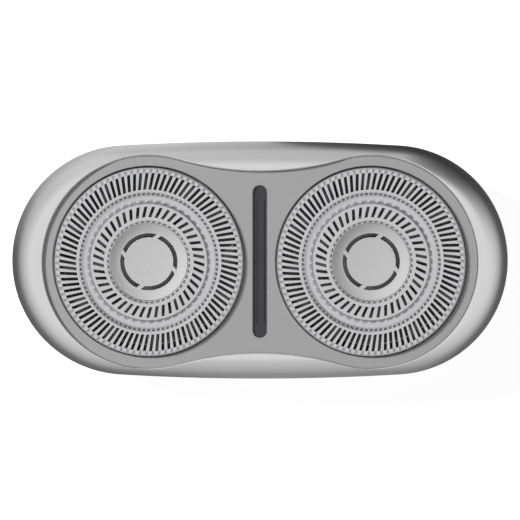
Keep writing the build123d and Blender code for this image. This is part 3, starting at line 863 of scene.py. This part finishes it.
def white_paper():
    """Paper that glows just under white for the camera and for gloss, with a shadow from its shading."""
    material, tree, _ = blank_material("white_paper")
    path = node(tree, "ShaderNodeLightPath", {})
    seen = node(tree, "ShaderNodeMath",
                {0: path.outputs["Is Camera Ray"], 1: path.outputs["Is Glossy Ray"]}, operation="MAXIMUM")
    seen = node(tree, "ShaderNodeMath",
                {0: seen.outputs[0], 1: path.outputs["Is Transmission Ray"]}, operation="MAXIMUM")
    paper = node(tree, "ShaderNodeBsdfDiffuse", {"Color": colour("d8d8d8")})
    glow = node(tree, "ShaderNodeEmission", {"Color": (1, 1, 1, 1), "Strength": 0.93})
    shade = node(tree, "ShaderNodeBsdfDiffuse", {"Color": colour("a0a0a0")})
    white = node(tree, "ShaderNodeAddShader", {0: glow.outputs[0], 1: shade.outputs[0]})
    mixed = node(tree, "ShaderNodeMixShader",
                 {0: seen.outputs[0], 1: paper.outputs[0], 2: white.outputs[0]})
    finish_material(tree, clear_from_below(tree, mixed))
    return material


def plain_paper():
    """Matte grey paper."""
    material, tree, _ = blank_material("plain_paper")
    paper = node(tree, "ShaderNodeBsdfDiffuse", {"Color": colour("808080")})
    finish_material(tree, clear_from_below(tree, paper))
    return material


def by_bearing(tree, direction, stops):
    """Grey that depends on the compass bearing of a direction: stops are (degrees from +X, grey)."""
    parts = node(tree, "ShaderNodeSeparateXYZ", {"Vector": direction})
    bearing = node(tree, "ShaderNodeMath", {0: parts.outputs["Y"], 1: parts.outputs["X"]},
                   operation="ARCTAN2")
    share = node(tree, "ShaderNodeMapRange",
                 {"Value": bearing.outputs[0], "From Min": -math.pi, "From Max": math.pi})
    ramp = node(tree, "ShaderNodeValToRGB", {"Fac": share.outputs["Result"]})
    band = ramp.color_ramp
    band.interpolation = "EASE"
    for degrees, grey in stops:
        band.elements.new((degrees + 180) / 360).color = (grey, grey, grey, 1)
    band.elements.remove(band.elements[0])
    band.elements.remove(band.elements[-1])
    return ramp.outputs["Color"]


def painted_reflection_sheet():
    """Glowing sheet seen only in the gloss, a painted reflection: dark, lighter towards the upper left and
    the bottom.
    """
    material, tree, place = blank_material("painted_reflection_sheet")
    grey = by_bearing(tree, place, [
        (-179, 0.11), (-125, 0.16), (-90, 0.34), (-60, 0.28), (-35, 0.14), (0, 0.1), (50, 0.03),
        (76, 0.08), (90, 0.55), (125, 0.72), (150, 0.52), (166, 0.24), (179, 0.11)])
    finish_material(tree, node(tree, "ShaderNodeEmission", {"Color": grey, "Strength": 1.0}))
    return material


def stage_sheet(name, inner, outer, height, material):
    """Flat sheet between two plan loops, with its face up."""
    grid = np.stack([raised(outer, height), raised(inner, height)])
    sheet = build_mesh(name, [(grid, True, None)], (), material, 40)
    return sheet


under = oval(UNDER_RIM)
far = PAPER_SIZE * normal
stage_sheet("paper_round", under, far, 0.0, white_paper())
shade = stage_sheet("paper_under", under * 0, under, 0.0, plain_paper())
shade.visible_diffuse = False
shade.visible_glossy = False
shade.visible_shadow = False
# Painted reflection: the sheet is seen by glossy rays alone, not by the camera, shading or shadows.
reflection_sheet = stage_sheet("reflection_sheet_round", under, far, REFLECTION_SHEET_HEIGHT, painted_reflection_sheet())
reflection_sheet.visible_camera = False
reflection_sheet.visible_diffuse = False
reflection_sheet.visible_shadow = False
reflection_sheet.visible_transmission = False

# Light: a soft dome, bright overhead and dimmer towards the horizon, with a black flag at the upper
# right. The bright part overhead falls off faster towards the lower side. A soft lamp from the upper
# left draws the shadows in the recesses, and one from below shows the works.
LOW = [(-179, 0.28), (-130, 0.3), (-90, 0.45), (-60, 0.36), (0, 0.3), (60, 0.26), (85, 0.78),
       (115, 0.82), (148, 0.66), (166, 0.4), (179, 0.28)]
HIGH = [(-179, 0.76), (-130, 0.78), (-85, 0.58), (-40, 0.8), (0, 0.87), (60, 0.84), (100, 0.84),
        (145, 0.66), (179, 0.76)]
FALL = [(-179, 0.08), (-140, 0.08), (-108, 0.8), (-72, 0.8), (-40, 0.08), (179, 0.08)]
FLAG = [(-179, 0), (5, 0), (30, 0.5), (45, 0.95), (66, 1), (78, 0.75), (88, 0), (179, 0)]
WALL_TOP = 0.72
FALL_POWER = 10.0
FLAG_GREY = (0.05, 0.05, 0.05, 1)
DIFFUSE_SHARE = 0.1
world = bpy.data.worlds.new("soft_dome")
bpy.context.scene.world = world
world.use_nodes = True
dome = world.node_tree
dome.nodes.clear()
direction = node(dome, "ShaderNodeTexCoord", {}).outputs["Generated"]
up = node(dome, "ShaderNodeSeparateXYZ", {"Vector": direction}).outputs["Z"]
low_grey = by_bearing(dome, direction, LOW)
high_grey = by_bearing(dome, direction, HIGH)
rise = node(dome, "ShaderNodeMapRange", {"Value": up, "From Min": 0.0, "From Max": WALL_TOP})
walls = node(dome, "ShaderNodeMix",
             {"Factor": rise.outputs["Result"], 6: low_grey, 7: high_grey}, data_type="RGBA")
above = node(dome, "ShaderNodeMapRange", {"Value": up, "From Min": WALL_TOP, "From Max": 1.0})
power = node(dome, "ShaderNodeMath", {0: by_bearing(dome, direction, FALL), 1: FALL_POWER},
             operation="MULTIPLY")
top = node(dome, "ShaderNodeMath", {0: above.outputs["Result"], 1: power.outputs[0]}, operation="POWER")
sky = node(dome, "ShaderNodeMix", {"Factor": top.outputs[0], 6: walls.outputs[2], 7: (1, 1, 1, 1)},
           data_type="RGBA")
flag_share = by_bearing(dome, direction, FLAG)
low_enough = node(dome, "ShaderNodeMapRange", {"Value": up, "From Min": 1.0, "From Max": 0.9},
                  interpolation_type="SMOOTHSTEP")
flag = node(dome, "ShaderNodeMath", {0: flag_share, 1: low_enough.outputs["Result"]},
            operation="MULTIPLY")
flagged = node(dome, "ShaderNodeMix", {"Factor": flag.outputs[0], 6: sky.outputs[2], 7: FLAG_GREY},
               data_type="RGBA")
path = node(dome, "ShaderNodeLightPath", {})
level = node(dome, "ShaderNodeMapRange",
             {"Value": path.outputs["Is Diffuse Ray"], "To Min": 1.0, "To Max": DIFFUSE_SHARE})
glow = node(dome, "ShaderNodeBackground",
            {"Color": flagged.outputs[2], "Strength": level.outputs["Result"]})
node(dome, "ShaderNodeOutputWorld", {"Surface": glow.outputs[0]})


def soft_lamp(name, size, energy, place):
    """A round soft lamp that points at the head and leaves no spot on the metal."""
    lamp = bpy.data.lights.new(name, "AREA")
    lamp.shape = "DISK"
    lamp.size = size
    lamp.energy = energy
    holder = bpy.data.objects.new(name, lamp)
    bpy.context.scene.collection.objects.link(holder)
    holder.location = place
    holder.visible_glossy = False
    holder.rotation_euler = (-holder.location).to_track_quat("-Z", "Y").to_euler()


soft_lamp("key", 0.16, 5.15, (-0.36, 0.2, 0.46))
soft_lamp("from_below", 0.3, 2.2, (0.1, -0.1, -0.4))

# Camera: nearly straight down on the shaving face, a little from above the middle.
VIEW_TILT = math.radians(3.9)
VIEW_DISTANCE = 2.0
VIEW_WIDTH = 65.1 * MM
VIEW_HEIGHT = 11.0 * MM
SENSOR = 36.0
camera_data = bpy.data.cameras.new("camera")
camera_data.sensor_width = SENSOR
camera_data.lens = SENSOR * VIEW_DISTANCE / VIEW_WIDTH
camera = bpy.data.objects.new("camera", camera_data)
bpy.context.scene.collection.objects.link(camera)
camera.location = (0, VIEW_DISTANCE * math.sin(VIEW_TILT),
                   VIEW_HEIGHT + VIEW_DISTANCE * math.cos(VIEW_TILT))
camera.rotation_euler = (-VIEW_TILT, 0, 0)
bpy.context.scene.camera = camera
bpy.context.scene.view_settings.view_transform = "Standard"
